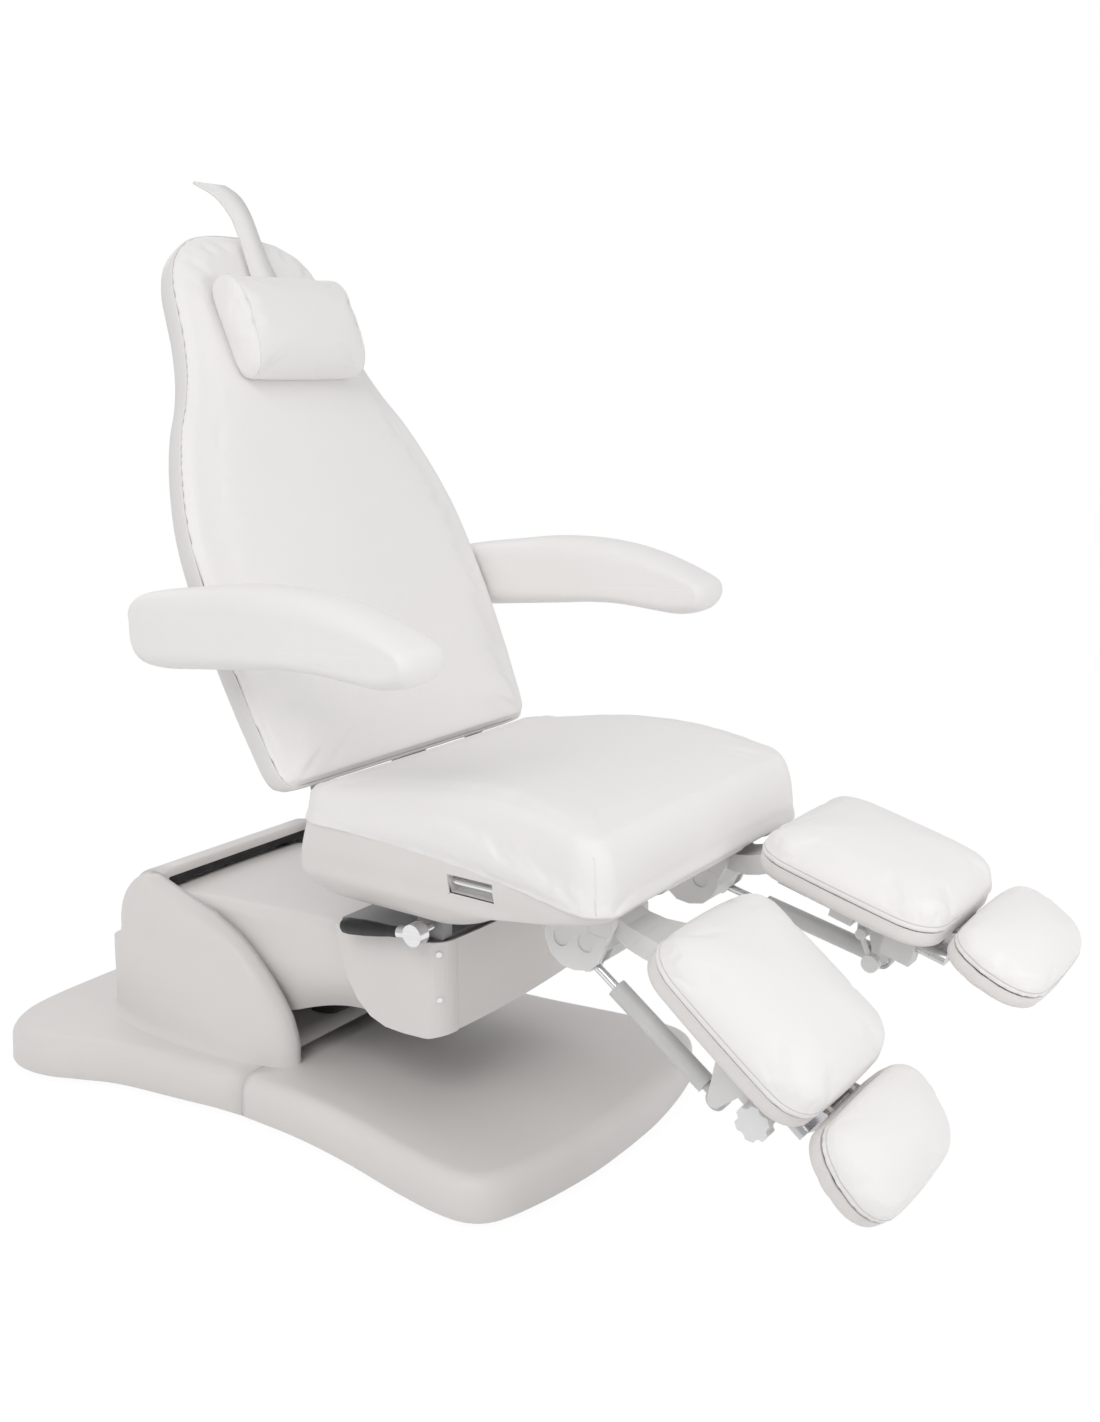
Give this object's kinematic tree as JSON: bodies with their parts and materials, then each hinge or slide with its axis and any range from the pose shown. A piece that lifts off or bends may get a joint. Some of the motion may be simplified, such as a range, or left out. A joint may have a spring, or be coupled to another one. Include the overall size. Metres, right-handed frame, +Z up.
{
  "type": "podiatry chair",
  "caption": "Electric podiatry chair with lifting base, swivel seat, reclining back, folding armrests, head pillow and two separately adjustable leg rests.",
  "frame": {"origin": "on the floor at the middle of the bounding box, below the seat", "axes": "+Z up, the chair faces -Y, +X is the sitter's left"},
  "size_m": [0.828, 1.7076, 1.4734],
  "materials": {
    "frame_steel": "powder coated",
    "foot_rubber": "matt",
    "cover_plastic": "fine satin",
    "upholstery": "soft grained",
    "bright_steel": "polished",
    "motor_case": "satin",
    "strap_webbing": "smooth",
    "casting_paint": "satin",
    "grip_plastic": "satin"
  },
  "bodies": {
    "base": {"base_frame": "frame_steel", "base_feet": "foot_rubber", "front_base_cover": "cover_plastic", "rear_base_cover": "cover_plastic", "lift_housing": "cover_plastic", "lift_pins": "bright_steel"},
    "lift_arm": {"lift_arm": "frame_steel", "arm_cover": "cover_plastic"},
    "tie_link": {"tie_link": "frame_steel"},
    "lift_motor": {"lift_motor": "motor_case"},
    "lift_rod": {"lift_rod": "bright_steel"},
    "carrier": {"carrier_head": "frame_steel", "carrier_pins": "bright_steel", "column_cover": "cover_plastic", "column_panel": "cover_plastic", "column_screws": "bright_steel", "swivel_bearing": "bright_steel"},
    "lever": {"lever_rod": "bright_steel", "lever_grip": "grip_plastic"},
    "turntable": {"turntable": "frame_steel"},
    "tilt_motor": {"tilt_motor": "motor_case"},
    "tilt_rod": {"tilt_rod": "bright_steel"},
    "seat": {"seat_frame": "frame_steel", "seat_pan": "cover_plastic", "seat_cushion": "upholstery", "seat_side_bars": "bright_steel", "leg_bracket_right": "casting_paint", "leg_bracket_left": "casting_paint"},
    "back_motor": {"back_motor": "motor_case"},
    "back_rod": {"back_rod": "bright_steel"},
    "back": {"back_hinge_pins": "bright_steel", "back_frame": "frame_steel", "back_shell": "cover_plastic", "back_cushion": "upholstery"},
    "pillow": {"head_pillow": "upholstery", "pillow_strap": "strap_webbing"},
    "armrest_right": {"armrest_base_right": "cover_plastic", "armrest_pad_right": "upholstery"},
    "leg_right": {"leg_neck_right": "casting_paint", "leg_shell_right": "cover_plastic", "leg_cushion_right": "upholstery"},
    "strut_rod_right": {"strut_rod_right": "bright_steel"},
    "strut_tube_right": {"strut_tube_right": "bright_steel"},
    "slider_right": {"foot_slider_right": "bright_steel"},
    "foot_right": {"foot_shell_right": "cover_plastic", "foot_cushion_right": "upholstery"},
    "knob_right": {"clamp_knob_right": "cover_plastic"},
    "release_right": {"foot_lever_right": "cover_plastic"},
    "armrest_left": {"armrest_base_left": "cover_plastic", "armrest_pad_left": "upholstery"},
    "leg_left": {"leg_neck_left": "casting_paint", "leg_shell_left": "cover_plastic", "leg_cushion_left": "upholstery"},
    "strut_rod_left": {"strut_rod_left": "bright_steel"},
    "strut_tube_left": {"strut_tube_left": "bright_steel"},
    "slider_left": {"foot_slider_left": "bright_steel"},
    "foot_left": {"foot_shell_left": "cover_plastic", "foot_cushion_left": "upholstery"},
    "knob_left": {"clamp_knob_left": "cover_plastic"},
    "release_left": {"foot_lever_left": "cover_plastic"}
  },
  "joints": [
    {"name": "arm_lift", "type": "hinge", "parent": "base", "child": "lift_arm", "pos_m": [0, 0.52, 0.165], "axis": [-1, 0, 0], "range_deg": [-3, 33]},
    {"name": "tie_swing", "type": "hinge", "parent": "base", "child": "tie_link", "pos_m": [0, 0.545, 0.22], "axis": [-1, 0, 0], "range_deg": [-3.5, 33.5]},
    {"name": "carrier_level", "type": "hinge", "parent": "lift_arm", "child": "carrier", "pos_m": [0, 0.09, 0.262], "axis": [-1, 0, 0], "range_deg": [-33.5, 3.5]},
    {"name": "lift_swing", "type": "hinge", "parent": "base", "child": "lift_motor", "pos_m": [0, 0.43, 0.062], "axis": [-1, 0, 0], "range_deg": [-3.43, 32.75]},
    {"name": "lift_stroke", "type": "slide", "parent": "lift_motor", "child": "lift_rod", "axis": [0, -0.8548, 0.519], "range_m": [-0.00806, 0.07863]},
    {"name": "lock_lever", "type": "hinge", "parent": "carrier", "child": "lever", "pos_m": [-0.212, 0.002, 0.374], "axis": [-1, 0, 0], "range_deg": [0, 40]},
    {"name": "seat_swivel", "type": "hinge", "parent": "carrier", "child": "turntable", "pos_m": [0, 0.06, 0.36], "axis": [0, 0, 1], "range_deg": [-90, 90]},
    {"name": "seat_tilt", "type": "hinge", "parent": "turntable", "child": "seat", "pos_m": [0, 0.1, 0.432], "axis": [-1, 0, 0], "range_deg": [0, 10]},
    {"name": "tilt_swing", "type": "hinge", "parent": "turntable", "child": "tilt_motor", "pos_m": [-0.03, 0.04, 0.4023], "axis": [-1, 0, 0], "range_deg": [-0.5, 12.58]},
    {"name": "tilt_stroke", "type": "slide", "parent": "tilt_motor", "child": "tilt_rod", "axis": [0, -0.9601, 0.2796], "range_m": [-0.001, 0.00961]},
    {"name": "back_recline", "type": "hinge", "parent": "seat", "child": "back", "pos_m": [0, 0.205, 0.547], "axis": [-1, 0, 0], "range_deg": [-3, 57]},
    {"name": "back_swing", "type": "hinge", "parent": "seat", "child": "back_motor", "pos_m": [0.03, -0.08, 0.478], "axis": [-1, 0, 0], "range_deg": [-0.55, 1.47]},
    {"name": "back_stroke", "type": "slide", "parent": "back_motor", "child": "back_rod", "axis": [0, 1, 0.0012], "range_m": [-0.07449, 0.00487]},
    {"name": "armrest_right_raise", "type": "hinge", "parent": "back", "child": "armrest_right", "pos_m": [-0.322, 0.312, 0.818], "axis": [-1, 0, 0], "range_deg": [0, 75]},
    {"name": "armrest_left_raise", "type": "hinge", "parent": "back", "child": "armrest_left", "pos_m": [0.322, 0.312, 0.818], "axis": [-1, 0, 0], "range_deg": [0, 75]},
    {"name": "pillow_shift", "type": "slide", "parent": "back", "child": "pillow", "axis": [0, 0.4158, 0.9095], "range_m": [-0.02, 0.05]},
    {"name": "leg_right_raise", "type": "hinge", "parent": "seat", "child": "leg_right", "pos_m": [-0.157, -0.315, 0.46], "axis": [-1, 0, 0], "range_deg": [-8, 38]},
    {"name": "strut_right_swing", "type": "hinge", "parent": "seat", "child": "strut_rod_right", "pos_m": [-0.187, -0.2905, 0.393], "axis": [-1, 0, 0], "range_deg": [-8.52, 38.6]},
    {"name": "strut_right_stroke", "type": "slide", "parent": "strut_rod_right", "child": "strut_tube_right", "axis": [0, -0.8123, -0.5833], "range_m": [-0.01068, 0.04699]},
    {"name": "foot_right_slide", "type": "slide", "parent": "leg_right", "child": "slider_right", "axis": [0, -0.788, -0.6157], "range_m": [0, 0.1]},
    {"name": "foot_right_tilt", "type": "hinge", "parent": "slider_right", "child": "foot_right", "pos_m": [-0.157, -0.64262, 0.2751], "axis": [-1, 0, 0], "range_deg": [-46, 10]},
    {"name": "knob_right_turn", "type": "hinge", "parent": "leg_right", "child": "knob_right", "pos_m": [-0.247, -0.57332, 0.27087], "axis": [1, 0, 0], "continuous": true},
    {"name": "release_right_press", "type": "hinge", "parent": "leg_right", "child": "release_right", "pos_m": [-0.136, -0.49393, 0.30244], "axis": [-1, 0, 0], "range_deg": [0, 12], "stiffness_Nm_per_rad": 0.6, "springref_deg": -2.86},
    {"name": "leg_left_raise", "type": "hinge", "parent": "seat", "child": "leg_left", "pos_m": [0.157, -0.315, 0.46], "axis": [-1, 0, 0], "range_deg": [-31, 15]},
    {"name": "strut_left_swing", "type": "hinge", "parent": "seat", "child": "strut_rod_left", "pos_m": [0.187, -0.2905, 0.393], "axis": [-1, 0, 0], "range_deg": [-31.52, 15.51]},
    {"name": "strut_left_stroke", "type": "slide", "parent": "strut_rod_left", "child": "strut_tube_left", "axis": [0, -0.9772, -0.2123], "range_m": [-0.0386, 0.01919]},
    {"name": "foot_left_slide", "type": "slide", "parent": "leg_left", "child": "slider_left", "axis": [0, -0.9659, -0.2588], "range_m": [0, 0.1]},
    {"name": "foot_left_tilt", "type": "hinge", "parent": "slider_left", "child": "foot_left", "pos_m": [0.157, -0.68882, 0.41781], "axis": [-1, 0, 0], "range_deg": [-46, 10]},
    {"name": "knob_left_turn", "type": "hinge", "parent": "leg_left", "child": "knob_left", "pos_m": [0.247, -0.62668, 0.38684], "axis": [1, 0, 0], "continuous": true},
    {"name": "release_left_press", "type": "hinge", "parent": "leg_left", "child": "release_left", "pos_m": [0.136, -0.54127, 0.38488], "axis": [-1, 0, 0], "range_deg": [0, 12], "stiffness_Nm_per_rad": 0.6, "springref_deg": -2.86}
  ],
  "couplings": [
    {"joint": "tie_swing", "follows": "arm_lift", "ratio": 1},
    {"joint": "carrier_level", "follows": "arm_lift", "ratio": -1},
    {"joint": "lift_swing", "follows": "arm_lift", "ratio": 0.97735},
    {"joint": "lift_stroke", "follows": "arm_lift", "m_per_rad": 0.13479},
    {"joint": "tilt_swing", "follows": "seat_tilt", "ratio": 1.2077},
    {"joint": "tilt_stroke", "follows": "seat_tilt", "m_per_rad": 0.049343},
    {"joint": "back_swing", "follows": "back_recline", "ratio": 0.017009},
    {"joint": "back_stroke", "follows": "back_recline", "m_per_rad": -0.073874},
    {"joint": "strut_right_swing", "follows": "leg_right_raise", "ratio": 1.0025},
    {"joint": "strut_right_stroke", "follows": "leg_right_raise", "m_per_rad": 0.069337},
    {"joint": "strut_left_swing", "follows": "leg_left_raise", "ratio": 1.0008},
    {"joint": "strut_left_stroke", "follows": "leg_left_raise", "m_per_rad": 0.06949}
  ]
}
